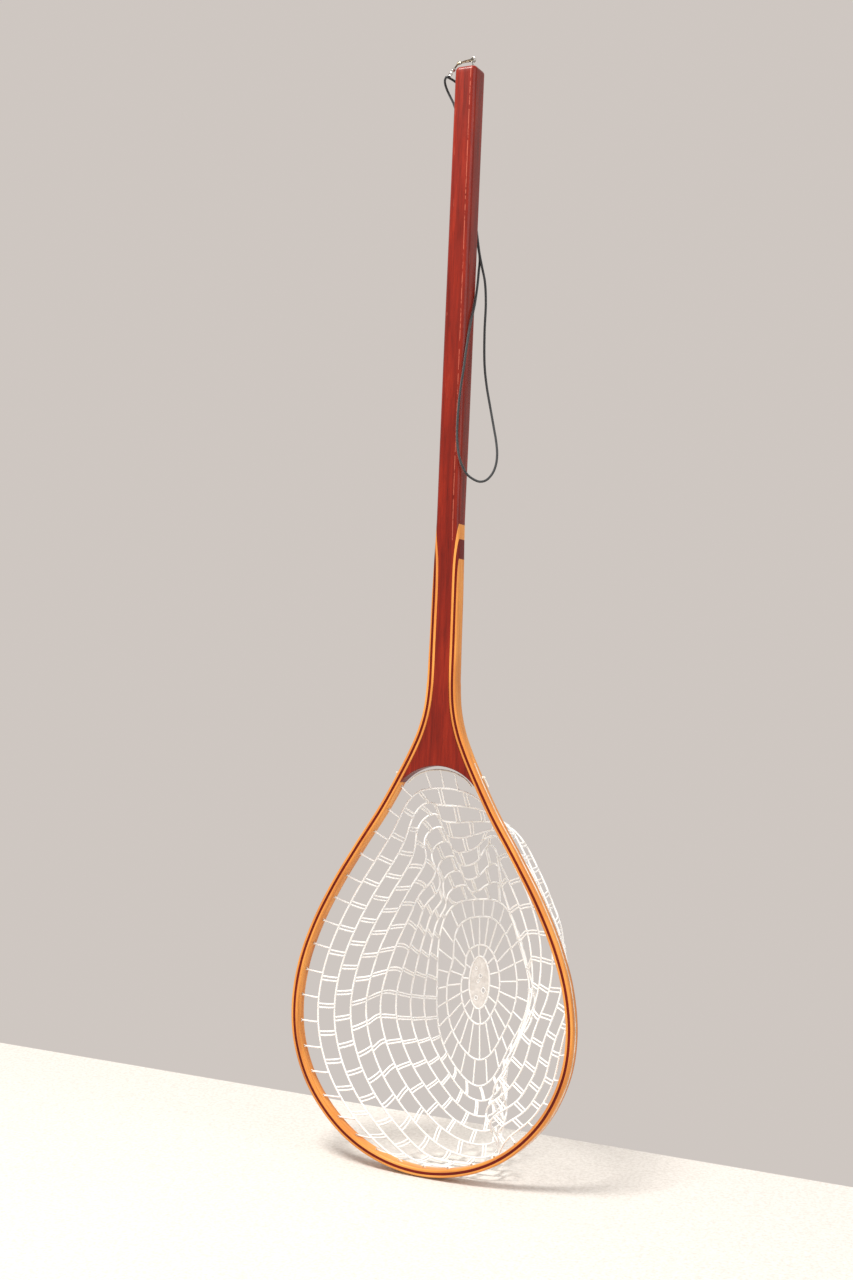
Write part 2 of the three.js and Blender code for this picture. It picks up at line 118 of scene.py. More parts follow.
class Skin:
    """Collects tubes and lofts as one mesh, with a UV in metres: u along, v round."""

    def __init__(self):
        self.points, self.faces, self.uvs, self.count = [], [], [], 0

    def add(self, points, faces, uvs):
        self.faces.extend([tuple(i + self.count for i in f) for f in faces])
        self.points.append(np.asarray(points, float))
        self.uvs.extend(uvs)
        self.count += len(points)

    def loft(self, rings, closed_along=False, caps=True):
        """rings: (stations, corners, 3) in drawing millimetres."""
        rings = np.asarray(rings, float)
        n, m = rings.shape[:2]
        middle = rings.mean(axis=1)
        u = np.concatenate([[0], np.cumsum(np.linalg.norm(np.diff(middle, axis=0), axis=1))]) / 1000
        side = np.linalg.norm(np.roll(rings[n // 2], -1, axis=0) - rings[n // 2], axis=1)
        v = np.concatenate([[0], np.cumsum(side)]) / 1000
        faces, uvs = [], []
        for i in range(n if closed_along else n - 1):
            j = (i + 1) % n
            for k in range(m):
                l = (k + 1) % m
                faces.append((i * m + k, i * m + l, j * m + l, j * m + k))
                uj = u[i + 1] if i + 1 < n else u[-1] + (u[1] - u[0])
                uvs.extend([(u[i], v[k]), (u[i], v[k + 1]), (uj, v[k + 1]), (uj, v[k])])
        if caps and not closed_along:
            faces.append(tuple(range(m - 1, -1, -1)))
            uvs.extend([(u[0], v[k]) for k in range(m - 1, -1, -1)])
            faces.append(tuple((n - 1) * m + k for k in range(m)))
            uvs.extend([(u[-1], v[k]) for k in range(m)])
        self.add(mm(rings.reshape(-1, 3)), faces, uvs)

    def tube(self, path, radius, sides, closed=False, flat=1.0, caps=True):
        """A round (or flattened) tube along a path in drawing millimetres."""
        p = np.asarray(path, float)
        if closed:
            tangent = np.roll(p, -1, axis=0) - np.roll(p, 1, axis=0)
        else:
            tangent = np.gradient(p, axis=0)
        tangent /= np.linalg.norm(tangent, axis=1)[:, None] + 1e-12
        normal = np.cross(tangent[0], [0.3, 0.9, 0.2])
        normal /= np.linalg.norm(normal)
        radius = np.broadcast_to(radius, len(p))
        turns = np.arange(sides) / sides * 2 * math.pi
        rings = []
        for i in range(len(p)):
            normal = normal - tangent[i] * normal.dot(tangent[i])
            normal /= np.linalg.norm(normal)
            other = np.cross(tangent[i], normal)
            ring = np.outer(np.cos(turns), normal) + flat * np.outer(np.sin(turns), other)
            rings.append(p[i] + ring * radius[i])
        if closed:
            # the frame's leftover twist at the seam is spread back over the whole loop
            seam = normal - tangent[0] * normal.dot(tangent[0])
            first = (rings[0][0] - p[0]) / radius[0]
            other = np.cross(tangent[0], first)
            twist = math.atan2(seam.dot(other), seam.dot(first))
            for i in range(len(p)):
                turn = Matrix.Rotation(-twist * i / len(p), 3, Vector(tangent[i]))
                rings[i] = p[i] + (rings[i] - p[i]) @ np.array(turn).T
        self.loft(rings, closed_along=closed, caps=caps)

    def make(self, name, material, body="root", sharp=None):
        mesh = bpy.data.meshes.new(name)
        mesh.from_pydata(np.vstack(self.points).tolist(), [], self.faces)
        layer = mesh.uv_layers.new(name="along")
        layer.data.foreach_set("uv", np.asarray(self.uvs, np.float32).ravel())
        mesh.materials.append(material)
        piece = bpy.data.objects.new(name, mesh)
        bpy.context.collection.objects.link(piece)
        tidy = bmesh.new()
        tidy.from_mesh(mesh)
        bmesh.ops.recalc_face_normals(tidy, faces=tidy.faces)
        tidy.to_mesh(mesh)
        tidy.free()
        mesh.shade_smooth()
        if sharp is not None:
            mesh.set_sharp_from_angle(angle=math.radians(sharp))
        if body:
            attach(piece, body)
        return piece


# ---------------------------------------------------------------- materials


class Nodes:
    """A short way to write a material's node tree."""

    def __init__(self, name):
        self.material = bpy.data.materials.new(name)
        self.material.use_nodes = True
        self.tree = self.material.node_tree
        self.shader = self.tree.nodes["Principled BSDF"]

    def node(self, kind, links=None, **values):
        made = self.tree.nodes.new(kind)
        for key, value in values.items():
            setattr(made, key, value)
        for key, value in (links or {}).items():
            self.feed(made.inputs[key], value)
        return made

    def feed(self, socket, value):
        if isinstance(value, bpy.types.NodeSocket):
            self.tree.links.new(value, socket)
        else:
            socket.default_value = value

    def set(self, **values):
        for key, value in values.items():
            self.feed(self.shader.inputs[key.replace("_", " ")], value)

    def math(self, operation, *values):
        made = self.tree.nodes.new("ShaderNodeMath")
        made.operation = operation
        for socket, value in zip(made.inputs, values):
            self.feed(socket, value)
        return made.outputs[0]

    def mix(self, factor, a, b):
        made = self.tree.nodes.new("ShaderNodeMix")
        made.data_type = "RGBA"
        self.feed(made.inputs["Factor"], factor)
        self.feed(made.inputs["A"], a)
        self.feed(made.inputs["B"], b)
        return made.outputs["Result"]

    def noise(self, vector, scale, detail=4.0, rough=0.55):
        inputs = {"Vector": vector, "Scale": scale, "Detail": detail, "Roughness": rough}
        made = self.node("ShaderNodeTexNoise", inputs)
        return made.outputs["Fac"]

    def ramp(self, factor, *stops):
        made = self.tree.nodes.new("ShaderNodeValToRGB")
        self.feed(made.inputs["Fac"], factor)
        ramp = made.color_ramp
        while len(ramp.elements) < len(stops):
            ramp.elements.new(0.5)
        for element, (place, value) in zip(ramp.elements, stops):
            element.position = place
            element.color = value if len(value) == 4 else (*value, 1)
        return made.outputs["Color"]

    def scaled(self, vector, scale):
        return self.node("ShaderNodeMapping", {"Vector": vector, "Scale": scale}).outputs["Vector"]

    def bump(self, height, strength, distance):
        made = self.node("ShaderNodeBump", {"Height": height, "Strength": strength, "Distance": distance})
        return made.outputs["Normal"]


def grey(v):
    return (v, v, v)


def wood(name, light, mid, dark, vector="object", pores=0.5, coat=0.35, rough=0.34, with_highlight_and_scratches=False):
    """Varnished straight-grained wood. The grain runs along Z, or along U where vector is 'along'."""
    n = Nodes(name)
    if vector == "object":
        place = n.node("ShaderNodeTexCoord").outputs["Object"]
        fine = n.scaled(place, (1.0, 1.0, 0.035))
        coarse = n.scaled(place, (1.0, 0.6, 0.06))
    else:
        place = n.node("ShaderNodeUVMap", uv_map="along").outputs["UV"]
        fine = n.scaled(place, (0.035, 1.0, 1.0))
        coarse = n.scaled(place, (0.05, 0.7, 1.0))
    bands = n.noise(coarse, 190, 3.0, 0.5)
    fibre = n.noise(fine, 1500, 5.0, 0.65)
    blotch = n.noise(place, 22, 2.0, 0.5)
    body = n.ramp(bands, (0.3, dark), (0.52, mid), (0.72, light))
    streak = n.ramp(fibre, (0.36, grey(1.0)), (0.47, grey(0.0)))
    body = n.mix(n.math("MULTIPLY", streak, pores), body, (*[c * 0.45 for c in dark], 1))
    body = n.mix(n.math("MULTIPLY", blotch, 0.35), body, (*mid, 1))
    # painted highlight: a lighter broken line on the grip's right front edge, plus real scratches along the
    # grain
    if with_highlight_and_scratches:
        body = n.mix(edge_highlight_and_scratches(n), body, (0.5, 0.13, 0.08, 1))
    relief = n.math("ADD", n.math("MULTIPLY", streak, -0.6), n.math("MULTIPLY", blotch, 0.8))
    roughness = n.math("ADD", rough - 0.06, n.math("MULTIPLY", blotch, 0.14))
    n.set(
        Base_Color=body,
        Roughness=roughness,
        Normal=n.bump(relief, 0.25, 0.0003),
        Coat_Weight=coat,
        Coat_Roughness=0.24,
        Specular_IOR_Level=0.14,
    )
    return n.material


def edge_highlight_and_scratches(n):
    """Painted highlight and real wear: a thin broken lighter line along the right front edge of the grip,
    just before its rounding starts, where the light catches it, and a few fine scratches along the grain."""
    place = n.node("ShaderNodeTexCoord").outputs["Object"]
    axes = n.node("ShaderNodeSeparateXYZ", {"Vector": place})
    x = n.math("ADD", axes.outputs["X"], float(EYE[0]) / 1000)
    drift = n.noise(n.scaled(place, (1.0, 1.0, 0.12)), 55, 2.0, 0.5)
    edge = n.math("ADD", 0.0084, n.math("MULTIPLY", n.math("SUBTRACT", drift, 0.5), 0.0016))
    away = n.math("ABSOLUTE", n.math("SUBTRACT", x, edge))
    line = n.math("LESS_THAN", away, 0.00042)
    front = n.math("LESS_THAN", axes.outputs["Y"], -0.011)
    high = n.math("GREATER_THAN", axes.outputs["Z"], -0.6)
    broken = n.math("GREATER_THAN", n.noise(n.scaled(place, (1.0, 1.0, 0.25)), 420, 3.0, 0.7), 0.46)
    marks = n.noise(n.scaled(place, (1.0, 1.0, 0.02)), 900, 1.0, 0.4)
    where = n.noise(n.scaled(place, (1.0, 1.0, 0.3)), 60, 2.0, 0.5)
    scratch = n.math("MULTIPLY", n.math("GREATER_THAN", marks, 0.7), n.math("GREATER_THAN", where, 0.6))
    # painted highlight: the broken line along the right front edge, where the light catches the start of the
    # rounding
    highlight_line = n.math("MULTIPLY", n.math("MULTIPLY", line, broken), high)
    both = n.math("MULTIPLY", n.math("MAXIMUM", highlight_line, n.math("MULTIPLY", scratch, 0.6)), front)
    return n.math("MULTIPLY", both, 0.75)


def netting_material():
    """Milky, slightly see-through moulded rubber."""
    n = Nodes("net_rubber")
    place = n.node("ShaderNodeTexCoord").outputs["Object"]
    cloud = n.noise(place, 45, 3.0, 0.6)
    grain = n.noise(place, 2200, 2.0, 0.6)
    colour = n.ramp(cloud, (0.3, (0.9, 0.89, 0.86)), (0.7, (0.98, 0.98, 0.97)))
    n.set(
        Base_Color=colour,
        Roughness=0.3,
        Normal=n.bump(grain, 0.15, 0.0002),
        Subsurface_Weight=0.25,
        Subsurface_Scale=0.003,
        IOR=1.42,
        Coat_Weight=0.3,
        Coat_Roughness=0.2,
    )
    n.shader.inputs["Subsurface Radius"].default_value = (1.0, 0.9, 0.8)
    return n.material


def web_material():
    """The thin skin of the same rubber across the patch, which lets light through."""
    n = Nodes("net_rubber_web")
    cloud = n.noise(n.node("ShaderNodeTexCoord").outputs["Object"], 160, 3.0, 0.6)
    n.set(
        Base_Color=n.ramp(cloud, (0.3, (0.8, 0.76, 0.72)), (0.7, (0.95, 0.93, 0.9))),
        Roughness=0.28,
        Alpha=n.math("ADD", 0.35, n.math("MULTIPLY", cloud, 0.35)),
        IOR=1.42,
    )
    return n.material


def lacing_material():
    """Twisted cord, off-white and a little soiled."""
    n = Nodes("lacing")
    place = n.node("ShaderNodeUVMap", uv_map="along").outputs["UV"]
    slant = n.math("ADD", n.node("ShaderNodeSeparateXYZ", {"Vector": place}).outputs["X"], 0.0)
    around = n.node("ShaderNodeSeparateXYZ", {"Vector": place}).outputs["Y"]
    twist = n.math("SINE", n.math("MULTIPLY", n.math("ADD", slant, around), 3600.0))
    dirt = n.noise(n.node("ShaderNodeTexCoord").outputs["Object"], 60, 4.0, 0.6)
    colour = n.ramp(dirt, (0.3, (0.5, 0.42, 0.33)), (0.6, (0.84, 0.79, 0.7)))
    n.set(Base_Color=colour, Roughness=0.7, Normal=n.bump(twist, 0.5, 0.0002), Sheen_Weight=0.2)
    return n.material


def braid_material():
    """Black braided sleeve: two sets of slanted picks that cross."""
    n = Nodes("black_cord")
    place = n.node("ShaderNodeUVMap", uv_map="along").outputs["UV"]
    axes = n.node("ShaderNodeSeparateXYZ", {"Vector": place})
    along, around = axes.outputs["X"], axes.outputs["Y"]
    one = n.math("SINE", n.math("MULTIPLY", n.math("ADD", along, around), 3300.0))
    two = n.math("SINE", n.math("MULTIPLY", n.math("SUBTRACT", along, around), 3300.0))
    weave = n.math("MULTIPLY", one, two)
    fuzz = n.noise(n.node("ShaderNodeTexCoord").outputs["Object"], 900, 3.0, 0.6)
    shade = n.math("ADD", n.math("MULTIPLY", weave, 0.3), fuzz)
    colour = n.ramp(shade, (0.3, (0.012, 0.014, 0.016)), (0.75, (0.05, 0.055, 0.06)))
    relief = n.bump(weave, 0.6, 0.0003)
    n.set(Base_Color=colour, Roughness=0.75, Normal=relief, Sheen_Weight=0.35, Sheen_Roughness=0.4)
    return n.material


def metal_material(name, dull, bright):
    """Plated steel, scuffed; its colour is split by noise into dull and bright patches, partly real stains
    and partly painted reflection.
    """
    n = Nodes(name)
    place = n.node("ShaderNodeTexCoord").outputs["Object"]
    scuff = n.noise(n.scaled(place, (1.0, 1.0, 0.2)), 2600, 4.0, 0.7)
    # painted reflection: strong dull and bright patches in the colour stand in for dark and bright
    # surroundings that the plain room does not give the metal to reflect; partly real stains too
    stains_and_painted_reflection = n.noise(place, 420, 3.0, 0.6)
    n.set(
        Base_Color=n.ramp(stains_and_painted_reflection, (0.38, dull), (0.6, bright)),
        Metallic=1.0,
        Roughness=n.math("ADD", 0.14, n.math("MULTIPLY", scuff, 0.2)),
        Normal=n.bump(scuff, 0.12, 0.0001),
    )
    return n.material


def floor_material():
    n = Nodes("floor")
    place = n.node("ShaderNodeTexCoord").outputs["Object"]
    speck = n.noise(place, 260, 6.0, 0.65)
    colour = n.ramp(speck, (0.35, (0.6, 0.575, 0.54)), (0.6, (0.72, 0.7, 0.67)))
    n.set(Base_Color=colour, Roughness=0.85, Normal=n.bump(speck, 0.15, 0.001))
    return n.material


# the grip's red wood carries a painted highlight line on its right front edge, and real scratches
RED_WOOD = wood(
    "red_hardwood", (0.28, 0.02, 0.006), (0.2, 0.0115, 0.004), (0.11, 0.0065, 0.0028), coat=0.3, with_highlight_and_scratches=True,
)
LIGHT_WOOD = wood("light_ash", (0.86, 0.4, 0.1), (0.74, 0.29, 0.062), (0.48, 0.14, 0.03), "along", 0.3, 0.2)
DARK_WOOD = wood(
    "dark_veneer", (0.2, 0.011, 0.005), (0.14, 0.007, 0.0035), (0.08, 0.0045, 0.0025), "along", 0.4, 0.1,
)
RUBBER = netting_material()
WEB = web_material()
LACING = lacing_material()
BRAID = braid_material()
# both metals carry painted reflection as dull and bright patches in their colour, besides real stains
NICKEL = metal_material("nickel", (0.2, 0.19, 0.17), (0.82, 0.81, 0.78))
STAINED = metal_material("stained_nickel", (0.035, 0.028, 0.018), (0.42, 0.35, 0.24))


# ---------------------------------------------------------------- lanyard

CORD_RADIUS = 1.5
LANYARD_ROUTE = [
    (-33.6, 0.6, 1345.8), (-36.6, 4, 1344.6), (-38.4, 9, 1341.2), (-38, 14, 1335.6),
    (-35.4, 17.6, 1328.6), (-30, 18.6, 1318), (-20.6, 18.3, 1290.6), (-8.8, 18.3, 1244.8),
    (1.9, 18.3, 1193.2), (9.6, 18.3, 1152), (14.6, 18.3, 1124.5), (19.2, 18.3, 1106),
    (22.9, 20, 1088.5), (24.4, 22, 1062.6), (23.4, 24, 1027), (25.3, 24, 985.6),
    (30, 23, 958), (36.6, 22, 931), (43.3, 20, 906), (48.2, 18, 888),
    (51.5, 15, 872), (51.6, 12, 858), (49, 8, 847), (43, 4, 839),
    (36.5, 0, 837), (30, -4, 839.5), (23.6, -9, 845), (18.3, -14, 856),
    (14.2, -15.8, 870), (11.6, -16, 888), (11, -16, 908), (11.7, -16, 929.5),
    (13.6, -16.2, 951), (16, -16, 971), (17, -12.5, 997), (17.3, -4, 1032),
    (17.3, 5, 1056), (16.2, 13, 1083), (14.8, 18, 1102), (13.4, 22, 1120),
    (6.9, 22.6, 1149), (-3, 22.6, 1201), (-9, 22.6, 1259), (-12.5, 22.6, 1305),
    (-15.5, 21.4, 1326), (-19.5, 16.4, 1337), (-25, 9.2, 1343), (-28.6, 3.9, 1345.2),
]

# The cord's two ends run on into the hitch.
HITCH_START = (-32.45, -0.7, 1346.26)
HITCH_FINISH = (-29.4, 1.7, 1345.4)


def make_lanyard():
    path = resample(smooth_path([HITCH_START, *LANYARD_ROUTE, HITCH_FINISH], 12), 2.0)
    skin = Skin()
    skin.tube(path, CORD_RADIUS, 12)
    piece = skin.make("lanyard_cord_braid", BRAID, body=None)
    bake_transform(piece)
    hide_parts("lanyard_cord")
    return piece


make_lanyard()


# ---------------------------------------------------------------- the bent strips and the grip

STRIP = 3.0
LINE_GAP = 0.12
HALF_LINE = [
    (60, 14.6), (110, 40), (154, 85), (178, 136), (184.3, 185), (177.8, 237), (161.7, 285),
    (137, 335), (106.5, 385), (74, 435), (48.8, 480), (34.6, 508), (25, 531), (18.3, 556),
    (15.2, 584), (14.6, 640), (14.6, 735), (16.6, 758), (20.3, 788), (22.2, 802),
]
FOOT = (0, 4.8)
GRIP_SECTIONS = np.array([
    (590, 19.3, 8.25, 1.5), (640, 18.6, 8.4, 2.0), (700, 18.0, 8.8, 2.6), (740, 17.1, 9.6, 3.6),
    (765, 16.2, 10.6, 4.6), (790, 15.5, 11.6, 5.4), (830, 15.3, 12.6, 5.8), (913, 15.3, 13.4, 6.0),
    (1050, 15.1, 14.4, 6.5), (1200, 14.8, 15.2, 6.8), (1320, 14.6, 15.5, 6.5), (1347, 14.6, 15.5, 6.5),
])
BUTT_ROUNDING = ((0.9, 0.12), (1.9, 0.45), (2.8, 0.95), (3.7, 1.7), (4.4, 2.7), (4.8, 3.6), (5.0, 4.6))
HOOP_HALF_DEPTH = 8.25
EDGE_ROUND = 1.3
GROOVE_HALF = 1.3
GROOVE_DEPTH = 1.3
GROOVE_TOP = 506
HOLE_TOP = 466
HOLE_PITCH = 33
ARCH_TOP = 490.3
ARCH_RADIUS = 67.0
BUTT = 1352.0

DARK_FACE = STRIP / 2
NEXT_FACE = DARK_FACE + LINE_GAP
EDGE_FACE = NEXT_FACE + STRIP


def hoop_line(step):
    """Points and outward directions along the middle of the dark strip, left top to right top."""
    right = [(x, 0, z) for x, z in HALF_LINE]
    left = [(-x, 0, z) for x, z in HALF_LINE][::-1]
    path = resample(smooth_path(left + [(FOOT[0], 0, FOOT[1])] + right, 40), step)
    tangent = np.gradient(path, axis=0)
    tangent /= np.linalg.norm(tangent, axis=1)[:, None]
    outward = np.column_stack([tangent[:, 2], np.zeros(len(path)), -tangent[:, 0]])
    return path, outward


def lacing_holes():
    """Places and outward directions of the lacing holes, evenly spaced along the hoop."""
    path, outward = hoop_line(1.5)
    first = np.argmax(path[:, 2] < HOLE_TOP)
    span = len(path) - 1 - 2 * first
    count = round(span * 1.5 / HOLE_PITCH)
    at = [first + round(i * span / count) for i in range(count + 1)]
    return [(path[i], outward[i]) for i in at]


def grip_shape(z):
    """Half width, half depth and corner radius of the shaped wood at height z."""
    if z <= GRIP_SECTIONS[0][0]:
        return 1e6, HOOP_HALF_DEPTH, EDGE_ROUND
    return tuple(np.interp(z, GRIP_SECTIONS[:, 0], GRIP_SECTIONS[:, k]) for k in (1, 2, 3))


def front_depth(x, width, depth, radius):
    """Half depth of a rounded rectangle at x."""
    over = abs(x) - (width - radius)
    if over <= 0:
        return depth
    return depth - radius + math.sqrt(max(radius**2 - min(over, radius) ** 2, 0))


def strip_section(point, outward, low, high, edge):
    """Corners of one strip's section, cut to the grip's shape where it has one.
    edge is +1 where the outer face is the hoop's outside, -1 where its inner face is the inside."""
    width, depth, radius = grip_shape(point[2])
    samples = 7
    side = math.copysign(1, point[0])
    base, reach = abs(point[0]), side * outward[0]
    z = point[2]
    if width < 1e5:
        high = min(high, (width - base) / max(reach, 0.2))
        high = max(high, low + 0.02)
    offsets = low + (high - low) * (0.5 - 0.5 * np.cos(np.linspace(0, math.pi, samples)))
    front = []
    for offset in offsets:
        h = depth
        if width < 1e5:
            h = front_depth(base + offset * reach, width, depth, radius)
        rest = offset - low if edge < 0 else high - offset
        if edge and rest < EDGE_ROUND and z < 620:
            round_off = EDGE_ROUND - math.sqrt(EDGE_ROUND**2 - (EDGE_ROUND - rest) ** 2)
            h = min(h, depth - round_off * min(1, (620 - z) / 40))
        front.append((offset, h))
    corners = [(o, -h) for o, h in front]
    groove = GROOVE_DEPTH * np.clip((GROOVE_TOP - z) / 20, 0, 1) if edge > 0 else 0
    g = GROOVE_HALF
    corners += [(high, -g), (high - groove * 0.75, -g * 0.8), (high - groove, 0)]
    corners += [(high - groove * 0.75, g * 0.8), (high, g)]
    corners += [(o, h) for o, h in front[::-1]]
    return [point + outward * o + np.array([0, h, 0]) for o, h in corners]


def make_strips():
    path, outward = hoop_line(3.0)
    rows = [
        ("outer_strip", "hoop_outer_lamination", NEXT_FACE, EDGE_FACE, 1, LIGHT_WOOD, "light_ash"),
        ("middle_strip", "hoop_middle_lamination", -DARK_FACE, DARK_FACE, 0, DARK_WOOD, "dark_veneer"),
        ("inner_strip", "hoop_inner_lamination", -EDGE_FACE, -NEXT_FACE, -1, LIGHT_WOOD, "light_ash"),
    ]
    for name, node, low, high, edge, material, slot in rows:
        rings = []
        for point, out in zip(path, outward):
            width = grip_shape(point[2])[0]
            if abs(point[0]) + low * abs(out[0]) > width - 0.05:
                continue
            rings.append(strip_section(point, out, low, high, edge))
        skin = Skin()
        skin.loft(rings)
        piece = skin.make(name, material, sharp=35)
        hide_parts(node)


def core_half_width(z, faces):
    """The half width of the stick between the inner strips, or of the whole grip above them."""
    heights, widths = faces
    return float(min(np.interp(z, heights, widths), grip_shape(z)[0]))


def make_handle():
    path, outward = hoop_line(3.0)
    inner = path - outward * (EDGE_FACE + LINE_GAP)
    right = inner[(inner[:, 0] > 0) & (inner[:, 2] > 440)]
    faces = (right[:, 2], right[:, 0])
    centre = ARCH_TOP - ARCH_RADIUS

    def arch_height(share):
        low, high = ARCH_TOP - 25.0, ARCH_TOP
        for _ in range(40):
            z = (low + high) / 2
            x = share * core_half_width(z, faces)
            if x**2 + (z - centre) ** 2 > ARCH_RADIUS**2:
                high = z
            else:
                low = z
        return (low + high) / 2

    columns = 33
    shares = np.sin(np.linspace(-1, 1, columns) * math.pi / 2)
    feet = np.array([arch_height(s) for s in shares])
    start = 560.0
    edge_levels = [0.0, 0.25, 0.7, 1.3, 2.2]
    heights = [*np.linspace(start, BUTT - 5, 190)[1:]]
    rows = []
    for level in edge_levels:
        h = HOOP_HALF_DEPTH - 1.2 + math.sqrt(max(1.2**2 - max(1.2 - level, 0) ** 2, 0))
        rows.append([(s, z + level, h) for s, z in zip(shares, feet)])
    for share in np.linspace(0, 1, 24)[1:]:
        rows.append([(s, (z + 2.2) * (1 - share) + start * share, None) for s, z in zip(shares, feet)])
    for z in heights:
        rows.append([(s, z, None) for s in shares])
    rings = []
    for row in rows:
        front, back = [], []
        for s, z, h in row:
            half = core_half_width(z, faces)
            width, depth, radius = grip_shape(z)
            x = s * half
            h = h or (depth if width > 1e5 else front_depth(x, width, depth, radius))
            front.append((x, -h, z))
            back.append((x, h, z))
        rings.append(front + back[::-1])
    for rise, shrink in BUTT_ROUNDING:
        width, depth, radius = 14.6 - shrink, 15.5 - shrink, max(6.5 - shrink, 2.5)
        front = [(s * width, -front_depth(s * width, width, depth, radius), BUTT - 5 + rise) for s in shares]
        rings.append(front + [(x, -y, z) for x, y, z in front[::-1]])
    skin = Skin()
    skin.loft(rings)
    piece = skin.make("grip", RED_WOOD, sharp=40)
    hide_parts("handle_core")


make_handle()
make_strips()


# ---------------------------------------------------------------- the bag

OUTER_RINGS = 9
RING_STEP = 20.0  # down the wall, between the outer rings
INNER_STEPS = ((17.0, 27.0), (22.0, 40.0), (14.0, 18.0))  # the last three, sideways and upright
ROWS_PER_STEP = 3
ROWS = ROWS_PER_STEP * (OUTER_RINGS + len(INNER_STEPS))
COLUMNS = 144
WALL_LENGTH = 60.0  # the straight side of the moulded bag, before its flat bottom starts
INNER_GIRTHS = (592.0, 455.0, 252.0, 156.0)  # of the last ring of the wall and the three inside it
PATCH_HALF = (14.5, 33.5)
BOTTOM_HALVES = ((64.0, 117.0), (49.0, 90.0), (27.0, 50.0), (14.0, 33.0))
BOTTOM_DEPTHS = (124.0, 128.0, 130.0, 131.0)
FALL = 1500.0
PUSH = (1100.0, 0.0, 0.0)
PATCH_SHIFT = (-4.0, 4.0)
SEED = 11
# Creases that the folded bag has kept: from where to where along the rim, how loosely the net
# reaches it from there, and the line it follows.
CREASES = (
    (
        (-64, 450), (-172, 130), 1.02,
        [(-50, 40, 424), (-49, 48, 345), (-61, 54, 294), (-73, 55, 245), (-105, 52, 165)],
    ),
    ((176, 200), (100, 42), 1.02, [(122, 50, 196), (92, 52, 160), (70, 52, 125), (50, 48, 66)]),
    ((66, 442), (156, 300), 1.02, [(80, 46, 428), (104, 60, 388), (128, 64, 340), (150, 56, 296)]),
    ((58, 452), (176, 230), 1.22, [(22, 80, 436), (42, 88, 352), (74, 90, 272), (106, 86, 205)]),
)
DEEPEST = 136.0
SETTLE_STEPS = 260
SETTLE_ROUNDS = 14
SETTLED_MIDDLE = (8.0, 212.0)
THROAT_CORD_DROP = 4.6  # from the top of the handle's arch down to the throat cord
FLOOR_CLEAR = 3.0  # lowest height over the floor that a thread's middle takes


def throat_cord_point(x):
    return (x, 0, ARCH_TOP - THROAT_CORD_DROP - ARCH_RADIUS + math.sqrt(ARCH_RADIUS**2 - x**2))


def rim_line():
    """The bag's edge: along the inside of the hoop, and across the throat on its own cord."""
    path, outward = hoop_line(2.0)
    inside = path - outward * (EDGE_FACE + 1.0)
    inside = inside[path[:, 2] < 464]
    across = np.linspace(40, -40, 15)
    arch = [throat_cord_point(x) for x in across]
    return np.vstack([inside, arch, inside[:1]])


def even_loop(closed, count):
    along = np.concatenate([[0], np.cumsum(np.linalg.norm(np.diff(closed, axis=0), axis=1))])
    at = np.linspace(0, along[-1], count, endpoint=False)
    return np.column_stack([np.interp(at, along, closed[:, k]) for k in range(3)]), along[-1]


def net_measures(rim, rim_length):
    """The moulded net's own sizes: the thread length of every cell, down and round, by row."""
    upright = np.abs(np.sin(np.arctan2(rim[:, 2] - SETTLED_MIDDLE[1], rim[:, 0] - SETTLED_MIDDLE[0])))
    down = np.full((ROWS, COLUMNS), RING_STEP / ROWS_PER_STEP)
    for k, (sideways, tall) in enumerate(INNER_STEPS):
        first = (OUTER_RINGS + k) * ROWS_PER_STEP
        down[first : first + ROWS_PER_STEP] = (sideways + (tall - sideways) * upright) / ROWS_PER_STEP
    rows = np.arange(ROWS + 1)
    wall_rows = WALL_LENGTH / RING_STEP * ROWS_PER_STEP
    marks = [0, wall_rows] + [(OUTER_RINGS + k) * ROWS_PER_STEP for k in range(4)]
    girths = [rim_length, rim_length * 0.98, *INNER_GIRTHS]
    return down, np.interp(rows, marks, girths) / COLUMNS


